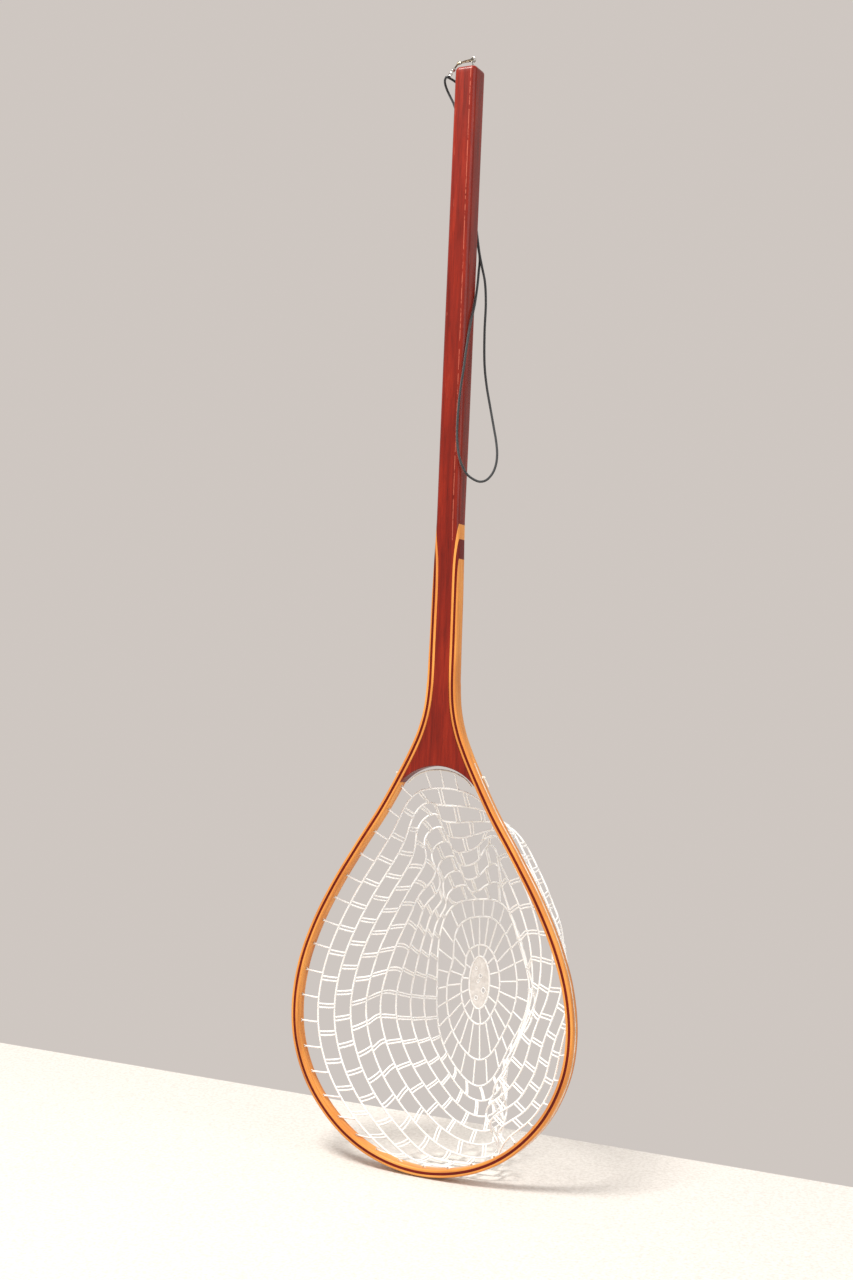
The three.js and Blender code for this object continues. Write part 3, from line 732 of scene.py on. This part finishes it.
def settle_bag():
    """The moulded net as a web of threads that can't stretch but fold easily. Its bottom leans flat
    behind the hoop; the wall between it and the rim is let down under its own weight."""
    rim, rim_length = even_loop(rim_line(), COLUMNS)
    down, ring = net_measures(rim, rim_length)
    away = rim[:, [0, 2]] - np.array(SETTLED_MIDDLE)
    turn = np.arctan2(away[:, 1] / 1.6, away[:, 0])
    # The columns are spread evenly round the bottom, whatever the rim does.
    order = np.unwrap(turn)
    full_turn = 2 * math.pi * np.sign(order[5] - order[0])
    even = np.linspace(order[0], order[0] + full_turn, COLUMNS, endpoint=False)
    turn = 0.35 * order + 0.65 * even
    wave = 0.05 * np.sin(3 * turn + 0.6) + 0.035 * np.sin(5 * turn + 2.1)
    p = np.zeros((ROWS + 1, COLUMNS, 3))
    wall = OUTER_RINGS * ROWS_PER_STEP
    marks = [wall + k * ROWS_PER_STEP for k in range(4)]
    for row in range(wall, ROWS + 1):
        wide = np.interp(row, marks, [h[0] for h in BOTTOM_HALVES])
        tall = np.interp(row, marks, [h[1] for h in BOTTOM_HALVES])
        depth = np.interp(row, marks, BOTTOM_DEPTHS)
        inner = (row - wall) / (ROWS - wall)
        from_dent = np.angle(np.exp(1j * (turn - 2.75)))
        dent = 0.16 * np.exp(-((from_dent / 0.28) ** 2)) * 4 * inner * (1 - inner)
        grow = 1 + wave * (1 - inner) - dent
        p[row, :, 0] = SETTLED_MIDDLE[0] + PATCH_SHIFT[0] * inner + wide * grow * np.cos(turn)
        p[row, :, 2] = SETTLED_MIDDLE[1] + PATCH_SHIFT[1] * inner + tall * grow * np.sin(turn)
        p[row, :, 1] = depth
    share = np.arange(wall + 1)[:, None, None] / wall
    p[: wall + 1] = rim[None] * (1 - share) + p[wall][None] * share
    p[: wall + 1, :, 1] = BOTTOM_DEPTHS[0] * np.sin(np.clip(share[..., 0] * 1.25, 0, 1) * math.pi / 2)
    rng = np.random.default_rng(SEED)
    angle = np.arange(COLUMNS) / COLUMNS * 2 * math.pi
    waves = enumerate(rng.normal(0, 1, (9, 2)), start=4)
    ripple = sum(a * np.cos(k * angle) + b * np.sin(k * angle) for k, (a, b) in waves)
    p[1:wall, :, 1] -= np.abs(ripple) * 2.5 * np.sin(np.linspace(0, math.pi, wall + 1)[1:wall])[:, None]
    up_way = UP / np.linalg.norm(UP)
    fall = (-up_way * FALL + np.array(PUSH)) / 120**2
    free = np.ones((ROWS + 1, 1, 1))
    free[0] = 0
    free[wall:] = 0
    fixed = p[wall:].copy()
    old = p.copy()
    ring_rest = ring[:, None, None]
    down_rest = down[:, :, None]

    def pull(a, b, rest, slack, wa, wb):
        d = p[b] - p[a]
        length = np.sqrt((d**2).sum(axis=-1, keepdims=True)) + 1e-9
        error = length - rest
        push = d / length * error * np.where(error > 0, 0.95, slack) / (wa + wb + 1e-9)
        p[a] += push * wa
        p[b] -= push * wb

    def spread(a, b, rest, amount):
        d = p[b] - p[a]
        length = np.sqrt((d**2).sum(axis=-1, keepdims=True)) + 1e-9
        push = d / length * np.minimum(length - rest, 0) * amount
        p[a] += push
        p[b] -= push

    last = slice(1, wall)
    held = []
    for first, final, slack, line in CREASES:
        ends = [int(np.argmin(np.hypot(rim[:, 0] - x, rim[:, 2] - z))) for x, z in (first, final)]
        columns = np.arange(min(ends), max(ends) + 1)
        share = (columns - ends[0]) / (ends[1] - ends[0])
        line = resample(smooth_path(line, 8), 2.0)
        goal = line[np.round(share * (len(line) - 1)).astype(int)]
        reach = np.linalg.norm(goal - rim[columns], axis=1)
        rows = np.clip(np.round(reach / (RING_STEP / ROWS_PER_STEP) * slack).astype(int), 3, wall - 5)
        held.append((rows, columns, goal))
    for step in range(SETTLE_STEPS):
        moved = p - old
        old = p.copy()
        p = p + (moved * (0.985 if step < SETTLE_STEPS * 0.7 else 0.9) + fall) * free
        for _ in range(SETTLE_ROUNDS):
            for parity in (0, 1):
                a = (slice(parity, wall, 2), slice(None))
                b = (slice(parity + 1, wall + 1, 2), slice(None))
                pull(a, b, down_rest[parity:wall:2], 0.6, free[a[0]], free[b[0]])
            for parity in (0, 1):
                i = np.arange(parity, COLUMNS, 2)
                pull((last, i), (last, (i + 1) % COLUMNS), ring_rest[last], 0.6, 1.0, 1.0)
            for parity in (0, 1, 2, 3):
                i = np.arange(parity, COLUMNS, 4)
                spread((last, i), (last, (i + 2) % COLUMNS), 1.8 * ring_rest[last], 0.25)
            for parity in range(8):
                i = np.arange(parity, COLUMNS, 8)
                spread((last, i), (last, (i + 4) % COLUMNS), 3.6 * ring_rest[last], 0.3)
            for parity in (1, 2, 3, 4):
                i = np.arange(parity, wall - 2, 4)
                spread((i, slice(None)), (i + 2, slice(None)), 1.8 * down_rest[i], 0.25)
            p[:, :, 1] = np.minimum(p[:, :, 1], DEEPEST)
            p[1:, :, 1] = np.maximum(p[1:, :, 1], 0.6)
            p[1:] += np.maximum(FLOOR_CLEAR - p[1:] @ up_way, 0)[..., None] * up_way
            for rows, columns, goal in held:
                p[rows, columns] += (goal - p[rows, columns]) * 0.12
            p[0] = rim
            p[wall:] = fixed
    for _ in range(5):
        p[1:wall] = 0.5 * p[1:wall] + 0.25 * (np.roll(p[1:wall], 1, axis=1) + np.roll(p[1:wall], -1, axis=1))
    p[1:wall] = 0.6 * p[1:wall] + 0.2 * (p[: wall - 1] + p[2 : wall + 1])
    return p


def surface_point(p, row, column):
    """Smooth point of the settled web at a fractional row and column."""
    rows, columns = p.shape[:2]
    row = np.clip(row, 0, rows - 1)
    r0 = np.minimum(row.astype(int), rows - 2)
    c0 = np.floor(column).astype(int)
    fr, fc = (row - r0)[:, None], (column - c0)[:, None]

    def weights(t):
        return [
            (-t + 2 * t**2 - t**3) / 2, (2 - 5 * t**2 + 3 * t**3) / 2,
            (t + 4 * t**2 - 3 * t**3) / 2, (-(t**2) + t**3) / 2,
        ]

    total = np.zeros((len(row), 3))
    for a, wa in enumerate(weights(fr)):
        ra = np.clip(r0 + a - 1, 0, rows - 1)
        for b, wb in enumerate(weights(fc)):
            total += wa * wb * p[ra, (c0 + b - 1) % columns]
    return total


def first_bars():
    """Columns of the bars that come out of the lacing: one at every hole, and three on the throat cord."""
    fine, _ = even_loop(rim_line(), COLUMNS * 10)
    places = [p - o * (EDGE_FACE + 1.0) for p, o in lacing_holes()]
    places += [np.array(throat_cord_point(x)) for x in (-20, 0, 20)]
    return [float(np.argmin(np.linalg.norm(fine - q, axis=1))) / 10 for q in places]


def make_bag():
    p = settle_bag()
    skin = Skin()
    for k in range(1, OUTER_RINGS + len(INNER_STEPS) + 1):
        column = np.linspace(0, COLUMNS, 432, endpoint=False)
        path = surface_point(p, np.full(len(column), float(k * ROWS_PER_STEP)), column)
        skin.tube(path, THREAD_RADIUS, 6, closed=True)
    for k, count in enumerate(CELLS):
        top = float(k * ROWS_PER_STEP)
        width = COLUMNS / count
        sides = (-0.27, 0.27) if 0 < k < DOUBLE_UNTIL else (0,)
        at = first_bars() if k == 0 else [(i + (0.5 if k % 2 else 0.0)) * width for i in range(count)]
        for column in at:
            for side in sides:
                row = np.linspace(top, top + ROWS_PER_STEP, 7)
                path = surface_point(p, row, np.full(7, column + side))
                skin.tube(path, THREAD_RADIUS * 0.9, 5, caps=False)
    for hole in patch_holes(p[-1]):
        skin.tube(hole, THREAD_RADIUS * 0.6, 6, closed=True)
    piece = skin.make("net_bag_webbing", RUBBER)
    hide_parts("net_bag")
    make_patch(p[-1])


PATCH_HOLES = ((0.1, 0.24, 2.2), (-0.12, 0.02, 1.5), (0.42, -0.3, 2.8), (-0.25, -0.6, 2.1), (-0.35, 0.5, 1.6))


def patch_holes(edge):
    """Outlines of the small holes moulded through the patch."""
    middle = edge.mean(axis=0)
    turn = np.linspace(0, 2 * math.pi, 24, endpoint=False)
    outlines = []
    for u, v, radius in PATCH_HOLES:
        place = middle + np.array([u * PATCH_HALF[0], 0, v * PATCH_HALF[1]])
        ring = np.column_stack([radius * np.cos(turn), 0 * turn, 1.25 * radius * np.sin(turn)])
        outlines.append(place + ring)
    return outlines


def make_patch(edge):
    """The solid oval in the middle of the bag's bottom, with a few small holes moulded through it."""
    middle = edge.mean(axis=0)
    rings = []
    for share, thick in ((0.02, 0.45), (1.0, 0.45), (1.0, -0.45), (0.02, -0.45)):
        rings.append(middle + (edge - middle) * share + np.array([0, thick, 0]))
    skin = Skin()
    skin.loft(rings)
    piece = skin.make("net_bag_patch", WEB)
    cutters = Skin()
    for hole in patch_holes(edge):
        cutters.loft([hole + np.array([0, d, 0]) for d in (-3, 3)])
    cutter = cutters.make("patch_cutter", WEB)
    cut = piece.modifiers.new("holes", "BOOLEAN")
    cut.object = cutter
    cut.operation = "DIFFERENCE"
    cut.solver = "EXACT"
    apply_modifiers(piece)
    bpy.data.objects.remove(cutter)


def apply_modifiers(piece):
    graph = bpy.context.evaluated_depsgraph_get()
    done = bpy.data.meshes.new_from_object(piece.evaluated_get(graph))
    piece.modifiers.clear()
    piece.data = done
    done.set_sharp_from_angle(angle=math.radians(50))


THREAD_RADIUS = 1.25
CELLS = (40, 36, 36, 36, 34, 32, 30, 28, 26, 26, 24, 14)
DOUBLE_UNTIL = 9

make_bag()


# ---------------------------------------------------------------- lacing, throat cord and knots

LACING_RADIUS = 0.9


def make_lacing():
    path, outward = hoop_line(1.5)
    floor = EDGE_FACE - GROOVE_DEPTH + LACING_RADIUS * 0.9
    keep = path[:, 2] < 494
    run, out = path[keep], outward[keep]
    along = np.arange(len(run)) * 1.5
    skin = Skin()
    wander = 0.25 * np.sin(along / 9.0) + 0.15 * np.sin(along / 3.7 + 1)
    line = run + out * floor + np.column_stack([0 * wander, wander, 0 * wander])
    skin.tube(line, LACING_RADIUS, 8)
    for p, o in lacing_holes():
        t = np.array([-o[2], 0, o[0]])
        for side in (-1, 1):
            hoop = [
                p - o * (EDGE_FACE - 0.6) + t * side * 0.7,
                p - o * (EDGE_FACE + 0.9) + t * side * 1.3,
                p - o * (EDGE_FACE + 1.9) + t * side * 0.6 + np.array([0, 0.4 * side, 0]),
                p - o * (EDGE_FACE + 2.0),
            ]
            skin.tube(resample(smooth_path(hoop, 6), 0.5), 0.6, 6)
    piece = skin.make("lacing", LACING)
    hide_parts("lacing_cord")


def make_throat_cord():
    x = np.linspace(-30, 30, 9)
    span = [throat_cord_point(a) for a in x]
    route = [(-42.8, 0, 467.5), (-38.5, 0, 472.5), *span, (38.5, 0, 472.5), (42.8, 0, 467.5)]
    skin = Skin()
    skin.tube(resample(smooth_path(route, 8), 1.5), LACING_RADIUS, 10)
    piece = skin.make("throat_line", LACING)
    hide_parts("throat_cord")


def trefoil(count):
    """An overhand knot's closed line, reaching about 3 from its middle."""
    t = np.linspace(0, 2 * math.pi, count, endpoint=False)
    return np.column_stack([np.sin(t) + 2 * np.sin(2 * t), np.cos(t) - 2 * np.cos(2 * t), -np.sin(3 * t)])


def node_middle(node):
    low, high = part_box(node)
    return (np.array(low) + np.array(high)) / 2 * 1000 + EYE


def make_knots():
    """Overhand knots that stop the lacing at both sides of the throat."""
    for node, tail in (("lacing_knot_left", -1), ("lacing_knot_right", 1)):
        middle = node_middle(node)
        skin = Skin()
        skin.tube(middle + trefoil(60) * (0.62, 0.62, 0.9), 0.8, 8, closed=True)
        hang = [(0, 0, 0), (tail * 2.5, 0.5, -2.5), (tail * 5.2, 1, -7), (tail * 7.5, 0.6, -11.5)]
        ends = middle + np.array(hang)
        if tail > 0:
            skin.tube(resample(smooth_path(ends, 8), 0.8), 0.7, 8)
        piece = skin.make(node + "_tied", LACING)
        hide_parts(node)


make_lacing()
make_throat_cord()
make_knots()


# ---------------------------------------------------------------- metal

for node in ("screw_eye", "snap_hook", "snap_gate", "swivel_barrel", "swivel_eye"):
    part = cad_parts[node]
    part.data.materials.clear()
    part.data.materials.append(STAINED if node.startswith("snap") else NICKEL)


HITCH_GRIP = 0.6  # how far the hitch is drawn up round the swivel's eye
HITCH_SCALE = (0.6, 0.55, 0.8)


def make_hitch():
    """The lanyard's hitch on the swivel: turns of cord pulled tight."""
    knot, ring = node_middle("lanyard_knot"), node_middle("swivel_eye")
    middle = knot + (ring - knot) / np.linalg.norm(ring - knot) * HITCH_GRIP
    skin = Skin()
    skin.tube(middle + trefoil(48) * HITCH_SCALE, 0.95, 10, closed=True)
    piece = skin.make("lanyard_hitch", BRAID, body="swivel_end")
    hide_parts("lanyard_knot")


make_hitch()


# ---------------------------------------------------------------- floor, light and room


def make_floor():
    up = Vector(UP).normalized()
    right = Vector((1, 0, 0)) - up * up.x
    right.normalize()
    deep = up.cross(right)
    foot = Vector(mm((0, 0, -0.9)))
    corners = [(-1.6, -2.6), (1.9, -2.6), (1.9, 0.2), (-1.6, 0.2)]
    mesh = bpy.data.meshes.new("floor")
    mesh.from_pydata([foot + right * a + deep * b for a, b in corners], [], [(0, 1, 2, 3)])
    mesh.materials.append(floor_material())
    floor = bpy.data.objects.new("floor", mesh)
    bpy.context.collection.objects.link(floor)


def area_light(name, place, aim, size, power, colour):
    data = bpy.data.lights.new(name, "AREA")
    data.size = size
    data.energy = power
    data.color = colour
    lamp = bpy.data.objects.new(name, data)
    bpy.context.collection.objects.link(lamp)
    place, aim = Vector(mm(place)), Vector(mm(aim))
    turn = (aim - place).to_track_quat("-Z", "Y").to_matrix().to_4x4()
    lamp.matrix_world = Matrix.Translation(place) @ turn


def make_room():
    world = bpy.data.worlds.new("room")
    world.use_nodes = True
    world.node_tree.nodes["Background"].inputs["Color"].default_value = (0.62, 0.57, 0.535, 1)
    world.node_tree.nodes["Background"].inputs["Strength"].default_value = 1.0
    bpy.context.scene.world = world
    bpy.context.scene.view_settings.view_transform = "Standard"
    area_light("key", (-700, -1500, 3200), (0, 0, 650), 1.0, 130, (1.0, 0.97, 0.92))
    area_light("fill", (2400, -1200, 1700), (0, 0, 700), 2.2, 30, (0.95, 0.97, 1.0))


make_floor()
make_room()
